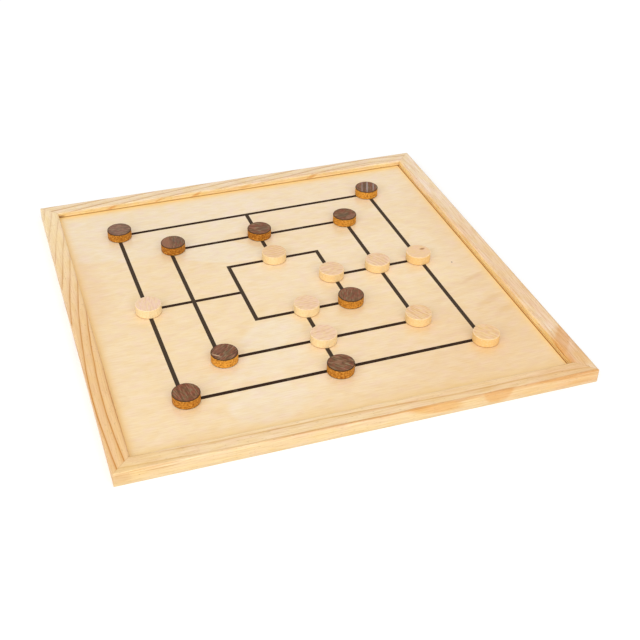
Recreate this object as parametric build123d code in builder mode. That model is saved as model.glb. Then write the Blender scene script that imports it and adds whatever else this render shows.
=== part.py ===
from build123d import *
import os

# A framed nine men's morris board with its eighteen counters, in millimetres.
# The origin is under the middle of the board, on the surface it rests on, with +Z up.
# +X runs along the front rail and +Y goes from the front rail to the back rail.

# Frame rails
board_side = 400.0        # outside length of each rail, so the board is square
rail_width = 16.0
rail_height = 13.0
rail_edge_radius = 0.8    # sanded rounding of the long edges
rail_inner_radius = 2.0   # eased long edge between a rail's top and its inner side

# Plywood panel, held in a groove round the inside of the frame
panel_thickness = 3.0
panel_recess = 5.0        # from the top of the rails down to the panel
groove_depth = 6.0
panel_edge_gap = 0.5      # room for the panel to swell, on each of its four edges
panel_slip = 0.5          # spare height in the groove, above the panel

# Printed playing lines, measured from line centre to line centre
outer_square = 262.0
middle_square = 178.0
inner_square = 87.5
line_width = 3.65
ink_thickness = 0.1
print_skew = 0.9          # degrees by which the print is turned on the panel
print_shift_x = -1.1      # centre of the print from the centre of the board
print_shift_y = 2.3

# V-nails that hold the mitres, driven in from the underside
nail_leg = 5.0
nail_sheet = 0.6          # thickness of the steel
nail_height = 7.0
nail_sink = 0.4           # how far a nail lies below the underside
nail_inset = 3.0          # from the outer faces of the frame to the nail's point

# Counters
counter_diameter = 23.0
counter_height = 8.5
counter_edge = 0.5        # rounding of the two rims

half_side = board_side / 2
panel_top = rail_height - panel_recess
panel_bottom = panel_top - panel_thickness
groove_span = board_side - 2 * (rail_width - groove_depth)
panel_side = groove_span - 2 * panel_edge_gap
counter_bottom = panel_top + ink_thickness
print_plane = Plane(Location((print_shift_x, print_shift_y, panel_top), (0, 0, print_skew)))

# Where each counter stands: its square, the point of that square as steps to the
# right and to the back, and how far it was set down from that point in x and y.
dark_places = [
    (outer_square, -1, 1, 1.7, -1.6),
    (middle_square, -1, 1, 3.6, 1.2),
    (middle_square, 0, 1, 0.5, -0.3),
    (outer_square, 1, 1, -0.8, -0.1),
    (middle_square, 1, 1, -0.1, -2.1),
    (inner_square, 1, -1, 0.0, -1.6),
    (middle_square, -1, -1, 2.8, -1.0),
    (outer_square, -1, -1, 1.8, 0.8),
    (outer_square, 0, -1, 0.1, -3.0),
]
light_places = [
    (outer_square, -1, 0, 0.5, -2.4),
    (inner_square, 0, 1, 0.9, 0.2),
    (inner_square, 1, 0, -1.7, -0.8),
    (middle_square, 1, 0, -1.0, -0.1),
    (outer_square, 1, 0, -1.2, 0.4),
    (inner_square, 0, -1, 2.0, -1.1),
    (middle_square, 0, -1, 0.9, -2.1),
    (middle_square, 1, -1, 0.4, -0.4),
    (outer_square, 1, -1, 1.0, -3.0),
]


def save(part, name):
    part.label = name
    export_step(part, f"parts/{name}.step")


os.makedirs("parts", exist_ok=True)

# The V of every nail, its point towards the corner and one leg in each rail.
with BuildSketch() as nail_outline:
    with PolarLocations((half_side - nail_inset) * 2**0.5, 4, start_angle=45):
        Polygon(
            (0, 0),
            (-nail_leg, 0),
            (-nail_leg, -nail_sheet),
            (-nail_sheet, -nail_sheet),
            (-nail_sheet, -nail_leg),
            (0, -nail_leg),
            rotation=-45,
            align=None,
        )

with BuildPart() as corner_v_nails:
    with BuildSketch(Plane.XY.offset(nail_sink)):
        add(nail_outline.sketch)
    extrude(amount=nail_height)
save(corner_v_nails.part, "corner_v_nails")

# Four like rails, each a quarter turn on from the one before, mitred at both ends.
for turn, rail_name in enumerate(["front_rail", "right_rail", "back_rail", "left_rail"]):
    rail_plane = Plane.XY.rotated((0, 0, 90 * turn))
    inner_end = half_side - rail_width
    with BuildPart() as rail:
        with BuildSketch(rail_plane):
            with BuildLine():
                Polyline(
                    (-half_side, -half_side),
                    (half_side, -half_side),
                    (inner_end, -inner_end),
                    (-inner_end, -inner_end),
                    close=True,
                )
            make_face()
        extrude(amount=rail_height)
        along = Axis((0, 0, 0), rail_plane.x_dir)
        top_edges = rail.edges().filter_by(along).group_by(Axis.Z)[-1]
        fillet(top_edges.sort_by(SortBy.LENGTH)[0], rail_inner_radius)
        long_edges = rail.edges().filter_by(along)
        outer_top = long_edges.group_by(Axis.Z)[-1].sort_by(SortBy.LENGTH)[-1:]
        fillet(long_edges.group_by(Axis.Z)[0] + outer_top, rail_edge_radius)
        with BuildSketch(Plane.XY.offset(panel_bottom)):
            Rectangle(groove_span, groove_span)
        extrude(amount=panel_thickness + panel_slip, mode=Mode.SUBTRACT)
        with BuildSketch():
            add(nail_outline.sketch)
        extrude(amount=nail_sink + nail_height, mode=Mode.SUBTRACT)
    save(rail.part, rail_name)

with BuildPart() as playing_panel:
    with BuildSketch(Plane.XY.offset(panel_bottom)):
        Rectangle(panel_side, panel_side)
    extrude(amount=panel_thickness)
save(playing_panel.part, "playing_panel")

# Three squares, one in another, joined at the middles of their sides.
with BuildPart() as printed_lines:
    with BuildSketch(print_plane):
        for square in (outer_square, middle_square, inner_square):
            Rectangle(square + line_width, square + line_width)
            Rectangle(square - line_width, square - line_width, mode=Mode.SUBTRACT)
        with PolarLocations((outer_square + inner_square) / 4, 4):
            Rectangle((outer_square - inner_square) / 2, line_width)
    extrude(amount=ink_thickness)
save(printed_lines.part, "printed_lines")

for colour, places in (("dark", dark_places), ("light", light_places)):
    for number, (square, right, back, nudge_x, nudge_y) in enumerate(places, start=1):
        centre = (right * square / 2 + nudge_x, back * square / 2 + nudge_y, 0)
        spot = print_plane.from_local_coords(centre)
        with BuildPart() as counter:
            with BuildSketch(Plane((spot.X, spot.Y, counter_bottom))):
                Circle(counter_diameter / 2)
            extrude(amount=counter_height)
            fillet(counter.edges(), counter_edge)
        save(counter.part, f"{colour}_counter_{number}")
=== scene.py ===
import math
import bpy
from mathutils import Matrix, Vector


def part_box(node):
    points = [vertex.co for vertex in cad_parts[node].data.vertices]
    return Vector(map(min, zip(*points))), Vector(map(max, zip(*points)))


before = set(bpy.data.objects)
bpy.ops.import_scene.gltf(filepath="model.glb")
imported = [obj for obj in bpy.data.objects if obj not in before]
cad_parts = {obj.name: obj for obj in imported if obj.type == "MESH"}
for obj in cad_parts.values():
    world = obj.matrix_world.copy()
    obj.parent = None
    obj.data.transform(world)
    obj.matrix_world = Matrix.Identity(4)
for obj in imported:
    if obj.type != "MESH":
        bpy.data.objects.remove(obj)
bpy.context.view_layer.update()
print("board and counters loaded")


def linear(hexColour):  # an sRGB hex colour as the linear colour that Blender works in
    parts = [int(hexColour[i:i + 2], 16) / 255 for i in (1, 3, 5)]
    return [p / 12.92 if p <= 0.04045 else ((p + 0.055) / 1.055) ** 2.4 for p in parts] + [1]


def addNode(tree, kind, inputs=None, stops=None, **settings):
    # inputs go by name or number and take a number, a colour, a socket or another node
    node = tree.nodes.new("ShaderNode" + kind)
    for name, value in settings.items():
        setattr(node, name, value)
    for key, value in (inputs or {}).items():
        socket = node.inputs[key]
        if isinstance(value, bpy.types.Node):
            value = next(s for s in value.outputs if s.enabled)
        if isinstance(value, bpy.types.NodeSocket):
            tree.links.new(value, socket)
        else:
            socket.default_value = value
    for number, (place, shade) in enumerate(stops or []):
        ramp = node.color_ramp.elements
        stop = ramp[number] if number < 2 else ramp.new(place)
        stop.position = place
        stop.color = linear(shade) if isinstance(shade, str) else (shade, shade, shade, 1)
    return node


def newMaterial(name, **finish):
    material = bpy.data.materials.new(name)
    material.use_nodes = True
    shader = material.node_tree.nodes["Principled BSDF"]
    for socket, value in finish.items():
        shader.inputs[socket.replace("_", " ")].default_value = value
    return material, material.node_tree, shader


def inMillimetres(tree):  # the place on the board, in millimetres
    where = addNode(tree, "TexCoord").outputs["Object"]
    return addNode(tree, "VectorMath", {0: where, "Scale": 1000.0}, operation="SCALE")


def dress(node, material):  # gives a piece of the board its one material
    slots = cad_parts[node].data.materials
    slots.clear()
    slots.append(material)


def blend(first, second, share):  # the colour that lies this share of the way from first to second
    return [a + (b - a) * share for a, b in zip(linear(first), linear(second))]


def blotches(tree, place, size, detail=2.0):
    # an uneven pattern from 0 to 1, whose light and dark spots have the given size in mm
    spots = addNode(tree, "VectorMath", {0: place, 1: [1 / s for s in size]}, operation="MULTIPLY")
    return addNode(tree, "TexNoise", {"Vector": spots, "Scale": 1.0, "Detail": detail})


def paintPatches(tree, colour, place, wobble, patches):
    # each patch is an ellipsoid with a soft, wavy rim, turned about the upright axis and leant about
    # the second one; soft is how wide the rim is and wavy how uneven, as shares of the patch's size
    for patch in patches:
        wavy = patch.get("wavy", 0.7)
        soft = patch.get("soft", 0.3)
        turned = (0, math.radians(patch.get("lean", 0)), math.radians(patch.get("turn", 0)))
        unit = addNode(tree, "Mapping", {0: place, 1: patch["at"], 2: turned, 3: patch["size"]},
                       vector_type="TEXTURE")
        reach = addNode(tree, "VectorMath", {0: unit}, operation="LENGTH").outputs["Value"]
        rim = addNode(tree, "Math", {0: wobble, 1: wavy, 2: reach}, operation="MULTIPLY_ADD")
        middle = 1 + wavy / 2
        share = addNode(tree, "MapRange", {0: rim, 1: middle + soft, 2: middle - soft, 3: 0.0,
                                           4: patch["strength"]}, interpolation_type="SMOOTHSTEP")
        colour = addNode(tree, "Mix", {0: share, 6: colour, 7: linear(patch["shade"])}, data_type="RGBA")
    return colour


grainDepth = 0.0002  # how deep sanded grain is in the bump nodes, in metres

# Camera: a short telephoto view from the front left, a little above the board
cameraView = {"place": (-0.2528, -0.7745, 0.5619), "aim": (-0.0207, -0.0469, 0.0),
              "lens": 60.6, "sensor": 36.0, "shift": (0.0563, 0.0078)}
cameraData = bpy.data.cameras.new("tableCamera")
cameraData.lens = cameraView["lens"]
cameraData.sensor_width = cameraView["sensor"]
cameraData.shift_x, cameraData.shift_y = cameraView["shift"]
camera = bpy.data.objects.new("tableCamera", cameraData)
bpy.context.scene.collection.objects.link(camera)
aim = Vector(cameraView["aim"]) - Vector(cameraView["place"])
camera.location = cameraView["place"]
camera.rotation_mode = "QUATERNION"
camera.rotation_quaternion = aim.to_track_quat("-Z", "Y")
bpy.context.scene.camera = camera
print("camera placed")

# Studio: a white sweep in an even white room, with a soft lamp on each side of the camera
# nearLift and farLift: a distance from the middle of the board in metres, and the sweep's glow there
studio = {"roomLight": 0.64, "lampWatts": 32.0, "lampSize": 2.2, "floorWhite": "#e8e8e8",
          "nearLift": (0.6, 0.3), "farLift": (1.8, 0.65), "floorReach": 6.0,
          "lamps": {"leftLamp": (-1.95, -1.6, 1.7), "rightLamp": (0.2, -2.45, 1.7)}}
bpy.context.scene.view_settings.view_transform = "Standard"


def whiteToTheEye(tree):  # 1 for rays from the camera, from a gloss or through glass, otherwise 0
    rays = addNode(tree, "LightPath").outputs
    seen = addNode(tree, "Math", {0: rays["Is Camera Ray"], 1: rays["Is Glossy Ray"]},
                   operation="MAXIMUM")
    return addNode(tree, "Math", {0: seen, 1: rays["Is Transmission Ray"]}, operation="MAXIMUM")


world = bpy.data.worlds.new("whiteRoom")
bpy.context.scene.world = world
world.use_nodes = True
tree = world.node_tree
strength = addNode(tree, "MapRange", {0: whiteToTheEye(tree), 3: studio["roomLight"], 4: 1.0})
tree.links.new(strength.outputs[0], tree.nodes["Background"].inputs["Strength"])
tree.nodes["Background"].inputs["Color"].default_value = linear("#ffffff")

bpy.ops.mesh.primitive_plane_add(size=studio["floorReach"])
floor = bpy.context.object
floor.name = "floor"
material, tree, shader = newMaterial("whiteSweep", Roughness=0.9, Specular_IOR_Level=0.0,
                                     Base_Color=linear(studio["floorWhite"]),
                                     Emission_Color=linear("#ffffff"))
# the sweep glows more the farther it lies from the board, so that it fades into the room
spread = addNode(tree, "VectorMath", {0: addNode(tree, "TexCoord").outputs["Object"]},
                 operation="LENGTH").outputs["Value"]
lift = addNode(tree, "MapRange", {0: spread, 1: studio["nearLift"][0], 2: studio["farLift"][0],
                                  3: studio["nearLift"][1], 4: studio["farLift"][1]})
lift = addNode(tree, "Math", {0: whiteToTheEye(tree), 1: lift}, operation="MULTIPLY")
tree.links.new(lift.outputs[0], shader.inputs["Emission Strength"])
floor.data.materials.append(material)

for name, place in studio["lamps"].items():
    lampData = bpy.data.lights.new(name, "AREA")
    lampData.shape = "SQUARE"
    lampData.size = studio["lampSize"]
    lampData.energy = studio["lampWatts"]
    lamp = bpy.data.objects.new(name, lampData)
    bpy.context.scene.collection.objects.link(lamp)
    lamp.location = place
    lamp.rotation_mode = "QUATERNION"
    lamp.rotation_quaternion = (-lamp.location).to_track_quat("-Z", "Y")
print("studio lit")

# Rails: knot-free pine, planed and sanded. Each rail has its own growth rings. They show as arcs or
# nearly straight lines on the top and run on down the sides.
# Lengths are in millimetres, and places are along the rail, in from its outer face, and up.
pine = {
    "resin": "#8a5a2c", "groove": "#f6d698", "roughness": 0.5, "bump": 0.12,
    "wave": 3.0, "waveSize": (80, 20, 20),  # slow waves in the rings
    "yearSize": (60, 6, 6), "yearShare": (0.65, 1.1),  # how much one year shows, least and most
    "fade": (-0.7, 0.05),  # where the rings change from one end's strength to the other's
    "patchSize": (20, 8, 8),  # waves in the rims of the patches
    "mottleWidth": 6, "fibreSize": (22, 1.0, 1.0), "canalSize": (3.5, 0.5, 0.5), "canals": 0.45,
    "glue": "#a5713c", "glueReach": (0.6, 0.1), "glueShare": 0.25,  # the glue line in the mitres
    "apart": 100,  # the patterns of two rails lie this far apart for each step of seed
    "half": 1000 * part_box("front_rail")[1].x, "height": 1000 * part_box("front_rail")[1].z,
}
# turn: quarter turns from the front rail; early and late: the pale wood and the ring lines
# ringWidth: from one ring line to the next; firstRing: from the outer face to the first one
# drift and tilt: how far the lines run out for each mm along the rail, and in for each mm up
# arc: how steeply the rings run off on both sides, how blunt the bend is, and where it lies
# sway: height, length and place of one long wave; seed: which part of the patterns the rail shows
# rings: how strongly they show at the two ends; mottle: strength and length of the colour changes
# fibre: strength of the fine grain; inner: tint and strength of the painted bounce light on the inner
# side
rails = {
    "front_rail": {
        "turn": 0, "early": "#f7deb6", "late": "#c68e12", "ringWidth": 9.6, "firstRing": 4.3,
        "drift": 0.0205, "arc": (0.0, 1.0, 0.0), "sway": (0.9, 165.0, 62.0), "tilt": -1.6,
        "rings": (0.5, 0.7), "seed": 3.0, "mottle": (0.4, 16), "fibre": 0.6, "inner": ("#fff0d8", 0.8),
        "patches": [  # on the outer face
            {"at": (-40, -1, 3), "size": (330, 5, 7.5), "strength": 0.9, "soft": 0.15, "wavy": 0.2,
             "shade": "#efd7ab"},
            {"at": (54, 0, 11.5), "size": (25, 1.6, 6.8), "lean": 10, "strength": 0.6, "soft": 0.25,
             "wavy": 0.3, "shade": "#e9b460"},
            {"at": (42, 0, 13), "size": (14, 1.6, 3), "lean": 12, "strength": 0.3, "soft": 0.5,
             "shade": "#dd9a3c"},
            {"at": (62, 0, 7), "size": (9, 1.6, 3), "strength": 0.2, "soft": 0.5, "shade": "#e0a060"},
            {"at": (110, 0, 14), "size": (13, 1.6, 12.5), "strength": 0.52, "soft": 0.15, "wavy": 0.3,
             "shade": "#e0a254"},
            {"at": (165, 0, 7), "size": (64, 1.6, 9), "strength": 0.25, "soft": 0.6, "shade": "#e8b264"},
            {"at": (172, 0, 10.6), "size": (40, 1.6, 0.9), "lean": 4, "strength": 0.35, "soft": 0.5,
             "wavy": 0.5, "shade": "#dd9a48"},
            {"at": (183, 0, 4.5), "size": (22, 1.6, 3), "strength": 0.3, "soft": 0.6, "shade": "#e3a257"},
            {"at": (190, 0, 12.8), "size": (38, 1.4, 1.3), "strength": 0.55, "shade": "#c9842f"},
            {"at": (60, 0, 13), "size": (150, 1.2, 0.9), "strength": 0.5, "shade": "#bf7d34"},
            {"at": (-162, 0, 9.6), "size": (14, 1.6, 0.4), "strength": 0.4, "shade": "#b97c3c"},
            {"at": (-168, 0, 12.2), "size": (20, 1.6, 0.4), "strength": 0.4, "shade": "#b97c3c"},
            {"at": (-194, 0, 8), "size": (8, 1.6, 5), "strength": 0.25, "soft": 0.5, "wavy": 1.2,
             "shade": "#b97c3c"},
            # painted shade along the foot of the outer face, next to the floor
            {"at": (0, 0, 0.5), "size": (600, 1.6, 2.6), "strength": 0.3, "soft": 0.3, "wavy": 0.3,
             "shade": "#d9c8a8"},
            # on the top
            {"at": (-186, 5, 13), "size": (26, 12, 8), "strength": 0.3, "soft": 0.5, "wavy": 0.4,
             "shade": "#e8bc6a"},
            {"at": (180, 6, 13), "size": (30, 12, 5), "strength": 0.28, "soft": 0.5, "wavy": 0.4,
             "shade": "#dfa65e"},
            {"at": (18, 9.2, 13), "size": (34, 0.9, 4), "turn": 1, "strength": 0.25, "soft": 0.5,
             "shade": "#d9963f"},
            {"at": (125, 8, 13), "size": (90, 9, 3), "strength": 0.25, "soft": 0.6, "shade": "#e9b876"}]},
    "right_rail": {
        "turn": 1, "early": "#fbe8ce", "late": "#be8212", "ringWidth": 12.0, "firstRing": 2.0,
        "drift": 0.012, "arc": (0.0, 1.0, 0.0), "sway": (0.6, 120.0, 0.0), "tilt": 0.5,
        "rings": (0.22, 0.22), "seed": 8.0, "mottle": (0.5, 12), "fibre": 0.7,
        "inner": ("#fbde94", 0.75),
        "patches": [
            # painted light at the foot of the inner side, lifting the shade where it meets the panel
            {"at": (0, 16.5, 9.2), "size": (600, 2, 1.6), "strength": 0.9, "wavy": 0.2,
             "shade": "#ffe9b2"},
            # on the top, from pale at the back to orange bands at the front mitre
            {"at": (116, 8, 13), "size": (36, 9, 12), "turn": 20, "strength": 0.75, "soft": 0.4,
             "shade": "#ffeedd"},
            {"at": (60, 8, 13), "size": (60, 10, 12), "strength": 0.3, "soft": 0.5, "wavy": 1.4,
             "shade": "#f3d6b0"},
            {"at": (-50, 6, 13), "size": (90, 9, 12), "strength": 0.5, "soft": 0.5, "wavy": 1.4,
             "shade": "#eec697"},
            {"at": (-169, 12, 16), "size": (22, 50, 6), "turn": 52, "strength": 0.3, "soft": 0.1,
             "wavy": 0.15, "shade": "#dc9a3c"},
            {"at": (-154, 8, 16), "size": (7, 50, 6), "turn": 52, "strength": 0.42, "soft": 0.2,
             "wavy": 0.3, "shade": "#dc9628"},
            {"at": (-186, 9, 15), "size": (12, 30, 6), "turn": 45, "strength": 0.3, "soft": 0.4,
             "wavy": 0.3, "shade": "#e0a850"},
            {"at": (-168, 15.5, 13), "size": (18, 4, 14), "strength": 0.25, "soft": 0.3, "wavy": 0.3,
             "shade": "#e09448"},
            {"at": (-166, 16.5, 10.8), "size": (10, 3, 0.35), "strength": 0.75, "wavy": 0.6,
             "shade": "#9c521a"},
            {"at": (-193, 11, 13), "size": (0.9, 5, 4), "strength": 0.6, "shade": "#b97c3c"},
            # the eased inner edge
            {"at": (0, 14.4, 13), "size": (600, 1.8, 2), "strength": 0.3, "soft": 0.4, "wavy": 0.4,
             "shade": "#eeb870"},
            # the outer edge, darkened by hands
            {"at": (0, 0, 13), "size": (600, 1.0, 1.0), "strength": 0.35, "soft": 0.4, "wavy": 0.4,
             "shade": "#b79c74"}]},
    "back_rail": {
        "turn": 2, "early": "#fbe8cb", "late": "#be8212", "ringWidth": 8.4, "firstRing": 1.8,
        "drift": 0.0, "arc": (0.165, 5.0, -145.0), "sway": (0.0, 100.0, 0.0), "tilt": 0.64,
        "rings": (0.65, 0.8), "seed": 5.0, "mottle": (0.5, 8), "fibre": 0.7,
        "inner": ("#e6cb8e", 0.75),
        "patches": [
            # painted light at the foot of the inner side, lifting the shade where it meets the panel
            {"at": (0, 16.5, 9.2), "size": (600, 2, 1.1), "strength": 0.5, "wavy": 0.2,
             "shade": "#ffe8b0"},
            # the rings break out of the inner side in slanting bands
            {"at": (131, 18.6, 10), "size": (11, 3.6, 2.4), "lean": 25, "strength": 0.62, "wavy": 0.4,
             "shade": "#d9953f"},
            {"at": (82, 18.6, 10.5), "size": (10, 3.6, 1.3), "lean": 25, "strength": 0.45, "wavy": 0.4,
             "shade": "#d9953f"},
            {"at": (42, 18.6, 10.5), "size": (10, 3.6, 2), "lean": 25, "strength": 0.62, "wavy": 0.4,
             "shade": "#d08a38"},
            {"at": (-10, 18.6, 10.5), "size": (13, 3.6, 2.6), "lean": 20, "strength": 0.35, "wavy": 0.4,
             "shade": "#d9953f"},
            {"at": (-84, 18.6, 10.5), "size": (12, 3.6, 2.2), "lean": 22, "strength": 0.62, "wavy": 0.4,
             "shade": "#d08a38"},
            # the eased inner edge, and painted shadow in the far left corner
            {"at": (-95, 13.4, 13), "size": (80, 1.5, 2), "strength": 0.32, "soft": 0.5, "wavy": 0.6,
             "shade": "#e0a464"},
            {"at": (182, 18.6, 9), "size": (5, 4, 1.7), "strength": 0.65, "wavy": 0.3,
             "shade": "#7a3c14"},
            # the outer edge, darkened by hands
            {"at": (0, 0, 13), "size": (600, 1.0, 1.0), "strength": 0.35, "soft": 0.4, "wavy": 0.4,
             "shade": "#b79c74"}]},
    "left_rail": {
        "turn": 3, "early": "#ffecc5", "late": "#b26c12", "ringWidth": 7.1, "firstRing": 1.1,
        "drift": 0.0, "arc": (0.23, 48.0, 118.0), "sway": (0.0, 100.0, 0.0), "tilt": 0.5,
        "rings": (0.4, 1.2), "seed": 1.0, "mottle": (0.4, 20), "fibre": 0.38,
        "inner": ("#ffebc6", 0.35),
        "patches": [{"at": (170, 8, 8), "size": (260, 60, 60), "strength": 0.48, "soft": 0.7, "wavy": 0.2,
                     "shade": "#e29f34"}]},
}


def sandedPine(name, rail):
    # pale wide earlywood that darkens slowly to a thin brown line, with a satin sheen
    material, tree, shader = newMaterial(name, Roughness=pine["roughness"])
    where = addNode(tree, "TexCoord").outputs["Object"]
    quarter = -math.pi / 2
    place = addNode(tree, "Mapping", {0: where, 1: (0, pine["half"], 0),
                                      2: (0, 0, rail["turn"] * quarter), 3: (1000, 1000, 1000)})
    along, across, up = addNode(tree, "SeparateXYZ", {0: place}).outputs
    shift = (0, 0, pine["apart"] * rail["seed"])
    moved = addNode(tree, "VectorMath", {0: place, 1: shift}, operation="ADD")
    # rings bend with slow waves along the rail
    wave = blotches(tree, moved, pine["waveSize"])
    slope, blunt, bend = rail["arc"]
    run = addNode(tree, "Math", {0: along, 1: bend}, operation="SUBTRACT")
    rise = addNode(tree, "Math", {0: run, 1: slope}, operation="MULTIPLY")
    square = addNode(tree, "Math", {0: rise, 1: rise, 2: blunt * blunt}, operation="MULTIPLY_ADD")
    arc = addNode(tree, "Math", {0: square}, operation="SQRT")
    swing, period, peak = rail["sway"]
    phase = addNode(tree, "Math", {0: along, 1: 2 * math.pi / period, 2: -2 * math.pi * peak / period},
                    operation="MULTIPLY_ADD")
    sway = addNode(tree, "Math", {0: phase}, operation="COSINE")
    ring = addNode(tree, "Math", {0: across, 1: arc}, operation="SUBTRACT")
    ring = addNode(tree, "Math", {0: sway, 1: swing, 2: ring}, operation="MULTIPLY_ADD")
    ring = addNode(tree, "Math", {0: along, 1: rail["drift"], 2: ring}, operation="MULTIPLY_ADD")
    ring = addNode(tree, "Math", {0: up, 1: -rail["tilt"], 2: ring}, operation="MULTIPLY_ADD")
    ring = addNode(tree, "Math", {0: wave, 1: pine["wave"], 2: ring}, operation="MULTIPLY_ADD")
    start = rail["firstRing"] - blunt - rail["tilt"] * pine["height"]
    start += pine["wave"] / 2 - rail["drift"] * pine["half"]
    year = addNode(tree, "Math", {0: ring, 1: start}, operation="SUBTRACT")
    year = addNode(tree, "Math", {0: year, 1: rail["ringWidth"]}, operation="DIVIDE")
    year = addNode(tree, "Math", {0: year}, operation="FRACT")
    line = addNode(tree, "ValToRGB", {0: year}, stops=[
        (0.0, 0.9), (0.04, 0.35), (0.1, 0.05), (0.3, 0.0), (0.6, 0.06), (0.83, 0.2), (0.92, 0.5),
        (0.965, 1.0)])
    # some years show more than others, and one end of the rail more than the other
    least, most = pine["yearShare"]
    byYear = blotches(tree, moved, pine["yearSize"], detail=1.0)
    byYear = addNode(tree, "MapRange", {0: byYear, 1: 0.3, 2: 0.7, 3: least, 4: most})
    begin, end = pine["fade"]
    ends = addNode(tree, "MapRange", {0: along, 1: begin * pine["half"], 2: end * pine["half"],
                                      3: rail["rings"][0], 4: rail["rings"][1]})
    share = addNode(tree, "Math", {0: line, 1: byYear}, operation="MULTIPLY")
    share = addNode(tree, "Math", {0: share, 1: ends}, operation="MULTIPLY")
    colour = addNode(tree, "Mix", {0: share, 6: linear(rail["early"]), 7: linear(rail["late"])},
                     data_type="RGBA")
    # patches: painted bounce light on the whole inner side, the rail's own patches of other wood, and the
    # freshly cut groove
    blot = blotches(tree, moved, pine["patchSize"], detail=3.0)
    side = [{"at": (0, 18.4, 9), "size": (600, 3.8, 6), "strength": rail["inner"][1], "soft": 0.15,
             "wavy": 0.25, "shade": rail["inner"][0]}]
    groove = [{"at": (0, 14, 6.5), "size": (600, 5, 2.6), "strength": 0.8, "soft": 0.05, "wavy": 0.0,
               "shade": pine["groove"]}]
    colour = paintPatches(tree, colour, place, blot, side + rail["patches"] + groove)
    # the wood turns from pinkish to yellowish and back every centimetre or so
    mottle, length = rail["mottle"]
    width = pine["mottleWidth"]
    cloud = blotches(tree, moved, (length, width, width), detail=4.0)
    warm = addNode(tree, "ValToRGB", {0: cloud}, stops=[(0.36, "#fff0ee"), (0.5, "#fff7e6"),
                                                        (0.64, "#fff1c4")])
    colour = addNode(tree, "Mix", {0: mottle, 6: colour, 7: warm}, data_type="RGBA",
                     blend_type="MULTIPLY")
    # fibres: drawn about 1 mm wide, coarser than the real 0.03 mm, so that they show
    fibre = blotches(tree, moved, pine["fibreSize"], detail=3.0)
    grain = addNode(tree, "ValToRGB", {0: fibre}, stops=[(0.34, "#e6d2b2"), (0.6, "#ffffff")])
    colour = addNode(tree, "Mix", {0: rail["fibre"], 6: colour, 7: grain}, data_type="RGBA",
                     blend_type="MULTIPLY")
    # resin canals: short dark dashes, 2 to 5 mm long
    canal = blotches(tree, moved, pine["canalSize"], detail=0.0)
    canal = addNode(tree, "MapRange", {0: canal, 1: 0.72, 2: 0.8, 3: 0.0, 4: pine["canals"]})
    colour = addNode(tree, "Mix", {0: canal, 6: colour, 7: linear(pine["resin"])}, data_type="RGBA")
    # glue line in the mitre at each end
    toEnd = addNode(tree, "Math", {0: along}, operation="ABSOLUTE")
    toEnd = addNode(tree, "Math", {0: toEnd, 1: across}, operation="ADD")
    thin, full = pine["glueReach"]
    glued = addNode(tree, "MapRange", {0: toEnd, 1: pine["half"] - thin, 2: pine["half"] - full,
                                       3: 0.0, 4: pine["glueShare"]})
    colour = addNode(tree, "Mix", {0: glued, 6: colour, 7: linear(pine["glue"])}, data_type="RGBA")
    tree.links.new(colour.outputs[2], shader.inputs["Base Color"])
    bump = addNode(tree, "Bump", {"Height": fibre, "Strength": pine["bump"], "Distance": grainDepth})
    tree.links.new(bump.outputs[0], shader.inputs["Normal"])
    return material


for node, rail in rails.items():
    dress(node, sandedPine("sandedPine_" + node, rail))
print("rails finished")
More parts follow.
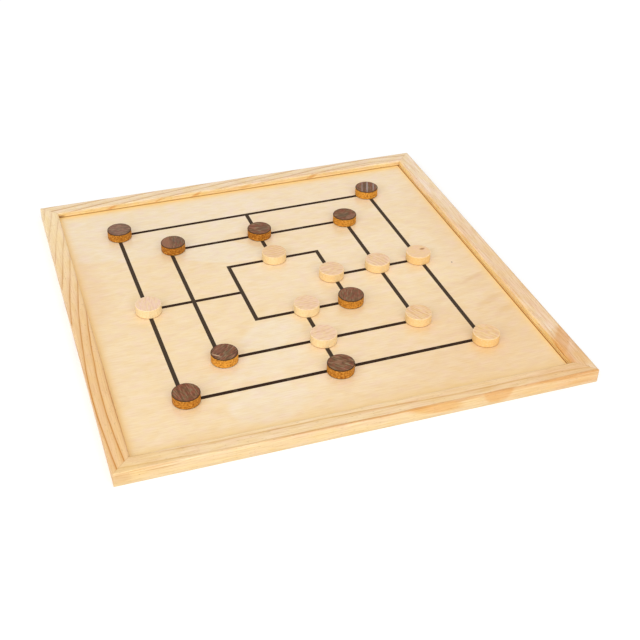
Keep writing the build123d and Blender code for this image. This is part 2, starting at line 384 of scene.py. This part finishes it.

# Panel: rotary-cut birch plywood, sanded and sealed. Its outer veneer has fibres along X.
# Lengths are in millimetres. pool: each side, and how far the painted warm bounce light and shade reach
# in from it
# dust: a side, how far the painted shadow line lies from its rail, and how strong the line is
plywood = {
    "base": "#f9e2bb", "roughness": 0.3, "gloss": 0.8, "flame": 0.12, "cloud": 0.3, "mottle": 0.3,
    "fibre": 0.34, "corner": "#964a00", "bounceGlow": "#ffd684", "bump": 0.08,
    "lightPools": [((1, 0, 0), 12), ((-1, 0, 0), 10), ((0, 1, 0), 16), ((0, -1, 0), 16)],
    "shadowLines": [((1, 0, 0), 1.25, 0.95), ((0, 1, 0), 0.2, 0.55)], "shadowLineReach": (0.7, 0.35),
    "contours": 9, "contourSize": (130, 50, 60), "patchSize": (36, 20, 20),
    "cloudSize": (12, 5, 5), "mottleSize": (11, 8, 8), "fibreSize": (14, 1.0, 1.0),
    "opening": 1000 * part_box("back_rail")[0].y,
    "patches": [
        # paler sapwood towards the back left, with a clear edge
        {"at": (-110, 158, 8), "size": (128, 74, 60), "turn": 2, "strength": 0.75, "soft": 0.05,
         "wavy": 0.3, "shade": "#f8e8cd"},
        {"at": (-48, 74, 8), "size": (46, 19, 60), "turn": -22, "strength": 0.8, "soft": 0.1,
         "wavy": 0.3, "shade": "#f8e9d0"},
        {"at": (70, 150, 8), "size": (120, 60, 60), "strength": 0.45, "soft": 0.4, "wavy": 0.8,
         "shade": "#fcebd2"},
        # islands of the same pale wood towards the front
        {"at": (-36, -68, 8), "size": (30, 18, 60), "turn": 15, "strength": 0.75, "soft": 0.15,
         "wavy": 0.9, "shade": "#f8e8cd"},
        {"at": (-62, -106, 8), "size": (46, 15, 60), "turn": 8, "strength": 0.65, "soft": 0.2,
         "wavy": 0.9, "shade": "#f8e8cd"},
        {"at": (-68, -152, 8), "size": (34, 24, 60), "turn": 0, "strength": 0.75, "soft": 0.15,
         "wavy": 0.9, "shade": "#f8e8cd"},
        {"at": (50, 25, 8), "size": (100, 50, 60), "strength": 0.4, "soft": 0.5, "wavy": 1.0,
         "shade": "#fcebd0"},
        {"at": (20, -125, 8), "size": (80, 40, 60), "strength": 0.3, "soft": 0.5, "wavy": 1.0,
         "shade": "#fbe8cc"},
        # warmer wood along the front, the right and the left edge
        {"at": (170, -150, 8), "size": (130, 80, 60), "strength": 0.4, "soft": 0.6, "wavy": 0.8,
         "shade": "#e9bf8a"},
        {"at": (-20, -185, 8), "size": (180, 26, 60), "strength": 0.25, "soft": 0.5, "wavy": 0.8,
         "shade": "#ecc78f"},
        {"at": (188, 20, 8), "size": (26, 120, 60), "strength": 0.3, "soft": 0.6, "wavy": 0.8,
         "shade": "#e9c092"},
        {"at": (-182, 50, 8), "size": (20, 62, 60), "strength": 0.3, "soft": 0.5, "wavy": 0.8,
         "shade": "#eabf92"},
        {"at": (142, -46, 8), "size": (44, 5, 60), "turn": 10, "strength": 0.12, "soft": 0.6,
         "wavy": 1.8, "shade": "#d9a365"},
        {"at": (130, -62, 8), "size": (50, 4, 60), "turn": 12, "strength": 0.1, "soft": 0.6,
         "wavy": 1.8, "shade": "#d9a365"},
        {"at": (167, -38, 8), "size": (15, 2.2, 60), "turn": 25, "strength": 0.22, "soft": 0.6,
         "wavy": 1.2, "shade": "#d9a35c"},
        {"at": (165, -76, 8), "size": (14, 4, 60), "turn": 22, "strength": 0.3, "soft": 0.6,
         "wavy": 1.2, "shade": "#dcaa5c"},
        {"at": (176, -91, 8), "size": (15, 4, 60), "turn": 22, "strength": 0.32, "soft": 0.6,
         "wavy": 1.2, "shade": "#dcaa5c"},
        # painted shadow in the far left corner, at the foot of the rails
        {"at": (-181, 183.4, 8), "size": (5, 1.1, 4), "strength": 0.5, "wavy": 0.3, "shade": "#7a3c14"},
        # a pin knot
        {"at": (157, -10, 8), "size": (0.7, 1.1, 4), "turn": -20, "strength": 0.75, "wavy": 0.0,
         "shade": "#7d6650"}],
}


def sealedBirchPly(name):
    # pale and almost even, with faint contour bands, cloudy patches and short fibre streaks; the lacquer
    # is smooth enough to mirror the counters and the frame a little
    material, tree, shader = newMaterial(name, Roughness=plywood["roughness"],
                                         Specular_IOR_Level=plywood["gloss"])
    place = inMillimetres(tree)
    # the lathe peels through the rings at a low angle, which draws wide contour bands
    height = blotches(tree, place, plywood["contourSize"], detail=2.5)
    bands = addNode(tree, "Math", {0: height, 1: plywood["contours"]}, operation="MULTIPLY")
    bands = addNode(tree, "Math", {0: bands}, operation="FRACT")
    flame = addNode(tree, "ValToRGB", {0: bands}, stops=[(0.0, "#ead3b0"), (0.12, "#ffffff"),
                                                         (0.6, "#fbf3e6"), (1.0, "#ead3b0")])
    colour = addNode(tree, "Mix", {0: plywood["flame"], 6: linear(plywood["base"]), 7: flame},
                     data_type="RGBA", blend_type="MULTIPLY")
    blot = blotches(tree, place, plywood["patchSize"], detail=4.0)
    colour = paintPatches(tree, colour, place, blot, plywood["patches"])
    # fine cloudiness, and patches of a few mm that are yellower or pinker
    cloud = blotches(tree, place, plywood["cloudSize"], detail=3.0)
    cloudy = addNode(tree, "ValToRGB", {0: cloud}, stops=[(0.35, "#f4ead9"), (0.65, "#ffffff")])
    colour = addNode(tree, "Mix", {0: plywood["cloud"], 6: colour, 7: cloudy}, data_type="RGBA",
                     blend_type="MULTIPLY")
    mottle = blotches(tree, place, plywood["mottleSize"], detail=6.0)
    mottled = addNode(tree, "ValToRGB", {0: mottle}, stops=[(0.36, "#ffeefa"), (0.5, "#fff7e6"),
                                                            (0.64, "#fff0c0")])
    colour = addNode(tree, "Mix", {0: plywood["mottle"], 6: colour, 7: mottled}, data_type="RGBA",
                     blend_type="MULTIPLY")
    # fibre streaks, drawn 1 mm wide so that they show
    fibre = blotches(tree, place, plywood["fibreSize"], detail=3.0)
    grain = addNode(tree, "ValToRGB", {0: fibre}, stops=[(0.34, "#eddcbe"), (0.6, "#ffffff")])
    colour = addNode(tree, "Mix", {0: plywood["fibre"], 6: colour, 7: grain}, data_type="RGBA",
                     blend_type="MULTIPLY")
    # painted warm bounce light and shade along the frame, yellower nearer the rails
    pooledLight = 0.0
    for side, reach in plywood["lightPools"]:
        out = addNode(tree, "VectorMath", {0: place, 1: side}, operation="DOT_PRODUCT").outputs["Value"]
        near = addNode(tree, "MapRange", {0: out, 1: plywood["opening"] - reach, 2: plywood["opening"]})
        pooledLight = addNode(tree, "Math", {0: near, 1: pooledLight}, operation="MAXIMUM")
    pooledLight = addNode(tree, "Math", {0: pooledLight, 1: 2.0}, operation="POWER")
    colour = addNode(tree, "Mix", {0: pooledLight, 6: colour, 7: linear(plywood["bounceGlow"])}, data_type="RGBA")
    # painted shadow lines along the right and the back, just short of the rails
    fades, full = plywood["shadowLineReach"]
    for side, short, strength in plywood["shadowLines"]:
        out = addNode(tree, "VectorMath", {0: place, 1: side}, operation="DOT_PRODUCT").outputs["Value"]
        off = addNode(tree, "Math", {0: out, 1: plywood["opening"] - short}, operation="SUBTRACT")
        off = addNode(tree, "Math", {0: off}, operation="ABSOLUTE")
        shadowed = addNode(tree, "MapRange", {0: off, 1: fades, 2: full, 3: 0.0, 4: strength})
        colour = addNode(tree, "Mix", {0: shadowed, 6: colour, 7: linear(plywood["corner"])},
                         data_type="RGBA")
    tree.links.new(colour.outputs[2], shader.inputs["Base Color"])
    bump = addNode(tree, "Bump", {"Height": fibre, "Strength": plywood["bump"], "Distance": grainDepth})
    tree.links.new(bump.outputs[0], shader.inputs["Normal"])
    return material


dress("playing_panel", sealedBirchPly("sealedBirchPly"))
print("panel finished")

# Lines: black ink, screen printed. Lengths are in millimetres.
# middle and turn: where the print lies on the board, and how many degrees it is turned
# columns: how far the lines that run along Y lie from the middle of the print
ink = {"black": "#2a170a", "worn": "#3f2b1b", "thin": "#4e4234", "roughness": 0.75, "gloss": 0.12,
       "middle": (-1.1, 2.3, 0.0), "turn": 0.9, "columns": (0.0, 43.75, 89.0, 131.0),
       "halfLine": 2.0, "thinned": 0.6, "fibre": (9, 0.6, 0.6)}


def screenPrintedInk(name):
    # matt, and thin enough for the wood's fibres to show as slightly greyer streaks; the squeegee was
    # pulled along Y and left a thinner, greyer film on the lines that run that way
    material, tree, shader = newMaterial(name, Roughness=ink["roughness"],
                                         Specular_IOR_Level=ink["gloss"])
    place = inMillimetres(tree)
    fibre = blotches(tree, place, ink["fibre"], detail=3.0)
    colour = addNode(tree, "ValToRGB", {0: fibre}, stops=[(0.4, ink["black"]), (0.72, ink["worn"])])
    turn = (0, 0, math.radians(ink["turn"]))
    inPrint = addNode(tree, "Mapping", {0: place, 1: ink["middle"], 2: turn}, vector_type="TEXTURE")
    sideways = addNode(tree, "SeparateXYZ", {0: inPrint}).outputs[0]
    sideways = addNode(tree, "Math", {0: sideways}, operation="ABSOLUTE")
    thinned = 0.0
    for column in ink["columns"]:
        onLine = addNode(tree, "Math", {0: sideways, 1: column, 2: ink["halfLine"]}, operation="COMPARE")
        thinned = addNode(tree, "Math", {0: onLine, 1: thinned}, operation="MAXIMUM")
    thinned = addNode(tree, "Math", {0: thinned, 1: ink["thinned"]}, operation="MULTIPLY")
    colour = addNode(tree, "Mix", {0: thinned, 6: colour, 7: linear(ink["thin"])}, data_type="RGBA")
    tree.links.new(colour.outputs[2], shader.inputs["Base Color"])
    return material


dress("printed_lines", screenPrintedInk("screenPrintedInk"))
print("lines finished")

# Counters: discs turned from beech board, so their faces show long grain. Half are stained brown on the
# faces. Lengths are in millimetres from the middle of a counter, and turns in degrees from +X.
# turn: the way the grain runs; ring: year rings' width and strength; bow: how much they arch;
# tone: from cool (0) to warm (1); edgeTone: from the darker (0) to the lighter (1) edge colour;
# mottle: two tints in turn, as strong as mottled; crown and foot: colour and strength of the thin
# rings round the top and the bottom; edgeFleck and edgeSpark: dark and bright flecks in the edge
beech = {
    "apart": 50,  # the patterns of two counters lie this far apart
    "wave": 2.5, "waveSize": (9, 5, 5),  # slow waves in the year rings
    "fibreSize": (5, 1.0, 1.0), "spotSize": (4, 2, 2), "fleckSize": (1.6, 1.6, 1.3),
    "crownReach": (0.9, 0.2), "footReach": (1.0, 0.3), "rimReach": (1.0, 0.3),  # faint and full
}
darkCounter = {
    "name": "stainedBeech_", "node": "dark_counter_", "coolFace": "#85604c", "warmFace": "#86583f",
    "streak": "#4a3328", "pale": "#ab917f", "mottle": ("#ffdccc", "#e6f4d8"), "mottled": 1.0,
    # the foot ring is painted contact shade
    "crown": ("#33210f", 0.95), "foot": ("#33210f", 0.6), "edge": ("#aa6816", "#dc9733"),
    "edgeFleck": "#7e4208", "edgeSpark": "#f2b154", "flecks": 0.85, "roughness": 0.6, "gloss": 0.2,
    "bump": 0.15,
    "counters": [
        {"turn": -6, "ring": (1.9, 0.45), "fibre": 1.0, "tone": 0.2, "edgeTone": 0.25, "spots": [
            {"at": (0, 0, 8), "size": (11, 11, 9), "strength": 0.25, "shade": "#a5897a"}]},
        {"turn": 80, "ring": (5.0, 0.1), "fibre": 0.6, "tone": 0.1, "edgeTone": 0.0, "spots": [
            {"at": (-7, 0, 8), "size": (5, 16, 9), "turn": -8, "strength": 0.7, "shade": "#9a6a50"},
            {"at": (5, 3, 8), "size": (6, 5, 9), "strength": 0.35, "shade": "#66584c"}]},
        {"turn": -22, "ring": (4.0, 0.15), "fibre": 0.7, "tone": 0.6, "edgeTone": 0.03, "spots": [
            {"at": (3, -2, 8), "size": (5, 4, 9), "strength": 0.4, "shade": "#685440"}]},
        {"turn": 70, "ring": (5.4, 0.15), "fibre": 0.6, "tone": 0.0, "edgeTone": 0.85, "spots": [
            {"at": (0.6, 0, 8), "size": (13, 0.9, 9), "turn": 69, "strength": 0.6, "shade": "#b4a6a4"},
            {"at": (-5, 0, 8), "size": (11, 0.8, 9), "turn": 69, "strength": 0.45, "shade": "#a3918c"},
            {"at": (-2.4, 0, 8), "size": (10, 1.3, 9), "turn": 69, "strength": 0.5, "shade": "#513a30"},
            {"at": (7.5, 0, 8), "size": (9, 0.8, 9), "turn": 69, "strength": 0.5, "shade": "#a89b98"}]},
        {"turn": 10, "ring": (5.0, 0.15), "fibre": 0.6, "tone": 0.6, "edgeTone": 0.65, "spots": [
            {"at": (-2, -1.6, 8), "size": (6, 3.2, 9), "turn": 20, "strength": 0.55, "shade": "#5c523a"},
            {"at": (4, -6, 8), "size": (6, 3, 9), "turn": 30, "strength": 0.4, "shade": "#97705c"}]},
        {"turn": 66, "ring": (4.0, 0.1), "fibre": 0.5, "tone": 0.5, "edgeTone": 0.45, "spots": []},
        {"turn": 40, "ring": (6.0, 0.45), "fibre": 0.8, "tone": 0.7, "edgeTone": 1.0, "spots": [
            {"at": (-3.5, 4.5, 8), "size": (5.5, 4.5, 9), "turn": 40, "strength": 0.45,
             "shade": "#8c5d48"},
            {"at": (3, -0.6, 8), "size": (7, 0.7, 9), "turn": 40, "strength": 0.7, "shade": "#a88a66"},
            {"at": (1.5, -1.9, 8), "size": (8, 0.6, 9), "turn": 40, "strength": 0.6, "shade": "#46301f"},
            {"at": (-7.4, -2.7, 8), "size": (3.6, 0.7, 9), "turn": -38, "strength": 0.9,
             "shade": "#cfa888"}]},
        {"turn": -78, "ring": (3.4, 0.2), "fibre": 0.6, "tone": 1.0, "edgeTone": 0.35, "spots": []},
        {"turn": -40, "ring": (4.5, 0.3), "fibre": 0.75, "tone": 0.8, "edgeTone": 0.3, "spots": [
            {"at": (-1.7, 1.2, 8), "size": (3.2, 2.6, 9), "turn": 15, "strength": 0.45,
             "shade": "#a07c5e"}]}],
}
lightCounter = {
    "name": "naturalBeech_", "node": "light_counter_", "coolFace": "#f3d6ba", "warmFace": "#f2cf9f",
    "streak": "#d2a578", "pale": "#f8e4ca", "mottle": ("#fff0f6", "#fff6d4"), "mottled": 0.6,
    # the crown is a painted highlight on the rim, and the foot ring is painted contact shade
    "crown": ("#ffe6b8", 0.35), "foot": ("#b07c3a", 0.65), "edge": ("#f0c683", "#f5dcab"),
    "edgeFleck": "#e8b25e", "edgeSpark": "#fff0cc", "flecks": 0.3, "roughness": 0.55, "gloss": 0.3,
    "bump": 0.15,
    "counters": [
        {"turn": 82, "ring": (3.0, 0.05), "fibre": 0.3, "tone": 0.0, "edgeTone": 1.0, "spots": []},
        {"turn": 2, "ring": (3.2, 0.6), "bow": -0.02, "fibre": 0.4, "tone": 0.8, "edgeTone": 0.6,
         "spots": []},
        {"turn": 5, "ring": (3.2, 0.45), "fibre": 0.45, "tone": 0.5, "edgeTone": 0.4, "spots": []},
        {"turn": -58, "ring": (3.6, 0.5), "bow": 0.015, "fibre": 0.55, "tone": 0.5, "edgeTone": 0.4,
         "spots": []},
        {"turn": 8, "ring": (5.0, 0.0), "fibre": 0.15, "tone": 0.7, "edgeTone": 0.05, "spots": [
            {"at": (5.0, 3.0, 8), "size": (2.4, 1.5, 9), "turn": 10, "strength": 0.85, "wavy": 0.4,
             "soft": 0.5, "shade": "#a87040"}]},
        {"turn": 3, "ring": (2.8, 0.35), "fibre": 0.45, "tone": 0.3, "edgeTone": 0.8, "spots": []},
        {"turn": 7, "ring": (4.6, 0.3), "fibre": 0.4, "tone": 0.2, "edgeTone": 0.8, "spots": []},
        {"turn": -58, "ring": (2.4, 0.6), "fibre": 0.6, "tone": 1.0, "edgeTone": 0.35, "spots": []},
        {"turn": -50, "ring": (3.5, 0.3), "fibre": 0.45, "tone": 1.0, "edgeTone": 0.05, "spots": []}],
}


def turnedBeech(name, node, looks, counter, seed):
    # long grain in fine streaks on the flat faces, and short flecks round a warmer edge, partly painted
    # bounce light
    material, tree, shader = newMaterial(name, Roughness=looks["roughness"],
                                         Specular_IOR_Level=looks["gloss"])
    low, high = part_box(node)
    radius = 1000 * (high.x - low.x) / 2
    thick = 1000 * (high.z - low.z)
    underside = Vector(((low.x + high.x) / 2, (low.y + high.y) / 2, low.z))
    where = addNode(tree, "TexCoord")
    local = addNode(tree, "VectorMath", {0: where.outputs["Object"], 1: underside},
                    operation="SUBTRACT")
    place = addNode(tree, "VectorMath", {0: local, "Scale": 1000.0}, operation="SCALE")
    turned = addNode(tree, "Mapping", {0: place, 1: (0, 0, beech["apart"] * seed),
                                       2: (0, 0, -math.radians(counter["turn"]))})
    along, across = addNode(tree, "SeparateXYZ", {0: turned}).outputs[:2]
    # year rings cross the face as faint arcs
    bend = addNode(tree, "Math", {0: along, 1: along}, operation="MULTIPLY")
    ring = addNode(tree, "Math", {0: bend, 1: counter.get("bow", 0.0), 2: across},
                   operation="MULTIPLY_ADD")
    wave = blotches(tree, turned, beech["waveSize"])
    ring = addNode(tree, "Math", {0: wave, 1: beech["wave"], 2: ring}, operation="MULTIPLY_ADD")
    ring = addNode(tree, "Math", {0: ring, 1: counter["ring"][0]}, operation="DIVIDE")
    year = addNode(tree, "Math", {0: ring}, operation="FRACT")
    line = addNode(tree, "ValToRGB", {0: year}, stops=[(0.0, 0.9), (0.12, 0.1), (0.5, 0.0), (0.8, 0.35),
                                                       (0.98, 1.0)])
    face = blend(looks["coolFace"], looks["warmFace"], counter["tone"])
    share = addNode(tree, "Math", {0: line, 1: counter["ring"][1]}, operation="MULTIPLY")
    face = addNode(tree, "Mix", {0: share, 6: face, 7: linear(looks["streak"])}, data_type="RGBA")
    # fibre streaks, drawn 1 mm wide so that they show
    fibre = blotches(tree, turned, beech["fibreSize"], detail=3.0)
    dark = addNode(tree, "MapRange", {0: fibre, 1: 0.5, 2: 0.3, 3: 0.0, 4: counter["fibre"]})
    face = addNode(tree, "Mix", {0: dark, 6: face, 7: linear(looks["streak"])}, data_type="RGBA")
    bright = addNode(tree, "MapRange", {0: fibre, 1: 0.5, 2: 0.7, 3: 0.0, 4: counter["fibre"]})
    face = addNode(tree, "Mix", {0: bright, 6: face, 7: linear(looks["pale"])}, data_type="RGBA")
    # redder and greener spots, a few mm across
    blot = blotches(tree, turned, beech["spotSize"], detail=3.0)
    mottle = addNode(tree, "ValToRGB", {0: blot}, stops=[(0.4, looks["mottle"][0]),
                                                         (0.6, looks["mottle"][1])])
    face = addNode(tree, "Mix", {0: looks["mottled"], 6: face, 7: mottle}, data_type="RGBA",
                   blend_type="MULTIPLY")
    face = paintPatches(tree, face, place, blot, counter["spots"])
    # the edge: end grain and side grain in turn, seen as small dark and bright flecks
    edge = blend(*looks["edge"], counter["edgeTone"])
    fleck = blotches(tree, turned, beech["fleckSize"], detail=3.0)
    flecks = addNode(tree, "MapRange", {0: fleck, 1: 0.5, 2: 0.32, 3: 0.0, 4: looks["flecks"]})
    edge = addNode(tree, "Mix", {0: flecks, 6: edge, 7: linear(looks["edgeFleck"])}, data_type="RGBA")
    sparks = addNode(tree, "MapRange", {0: fleck, 1: 0.54, 2: 0.74, 3: 0.0, 4: looks["flecks"]})
    edge = addNode(tree, "Mix", {0: sparks, 6: edge, 7: linear(looks["edgeSpark"])}, data_type="RGBA")
    # the edge is warmer and brighter than the faces: partly the stain on the dark faces, partly painted
    # bounce light
    normal = addNode(tree, "SeparateXYZ", {0: where.outputs["Normal"]}).outputs["Z"]
    flat = addNode(tree, "Math", {0: normal}, operation="ABSOLUTE")
    flat = addNode(tree, "MapRange", {0: flat, 1: 0.35, 2: 0.75})
    colour = addNode(tree, "Mix", {0: flat, 6: edge, 7: face}, data_type="RGBA")
    # a thin ring where the top meets the edge (a painted highlight on the light counters), and painted
    # shade round the foot
    flatPlace = addNode(tree, "VectorMath", {0: place, 1: (1, 1, 0)}, operation="MULTIPLY")
    out = addNode(tree, "VectorMath", {0: flatPlace}, operation="LENGTH").outputs["Value"]
    faint, full = beech["rimReach"]
    out = addNode(tree, "MapRange", {0: out, 1: radius - faint, 2: radius - full})
    level = addNode(tree, "SeparateXYZ", {0: place}).outputs["Z"]
    crownReach = [thick - reach for reach in beech["crownReach"]]
    for (shade, strength), (faint, full) in ((looks["crown"], crownReach),
                                             (looks["foot"], beech["footReach"])):
        near = addNode(tree, "MapRange", {0: level, 1: faint, 2: full, 3: 0.0, 4: strength})
        rim = addNode(tree, "Math", {0: near, 1: out}, operation="MULTIPLY")
        colour = addNode(tree, "Mix", {0: rim, 6: colour, 7: linear(shade)}, data_type="RGBA")
    tree.links.new(colour.outputs[2], shader.inputs["Base Color"])
    bump = addNode(tree, "Bump", {"Height": fibre, "Strength": looks["bump"], "Distance": grainDepth})
    tree.links.new(bump.outputs[0], shader.inputs["Normal"])
    return material


for looks in (darkCounter, lightCounter):
    for number, counter in enumerate(looks["counters"], start=1):
        node = looks["node"] + str(number)
        dress(node, turnedBeech(looks["name"] + str(number), node, looks, counter, number))
print("counters finished")

# V-nails: bare steel strip, cut and bent
nail = {"steel": "#a9a9a6", "scratch": "#7d7c78", "roughness": 0.35, "mark": (0.25, 0.25, 6)}


def cutSteelStrip(name):
    # dull grey with fine shear marks up the sheet
    material, tree, shader = newMaterial(name, Roughness=nail["roughness"], Metallic=1.0)
    place = inMillimetres(tree)
    mark = blotches(tree, place, nail["mark"])
    colour = addNode(tree, "ValToRGB", {0: mark}, stops=[(0.35, nail["scratch"]), (0.6, nail["steel"])])
    tree.links.new(colour.outputs[0], shader.inputs["Base Color"])
    return material


dress("corner_v_nails", cutSteelStrip("cutSteelStrip"))
print("nails finished")
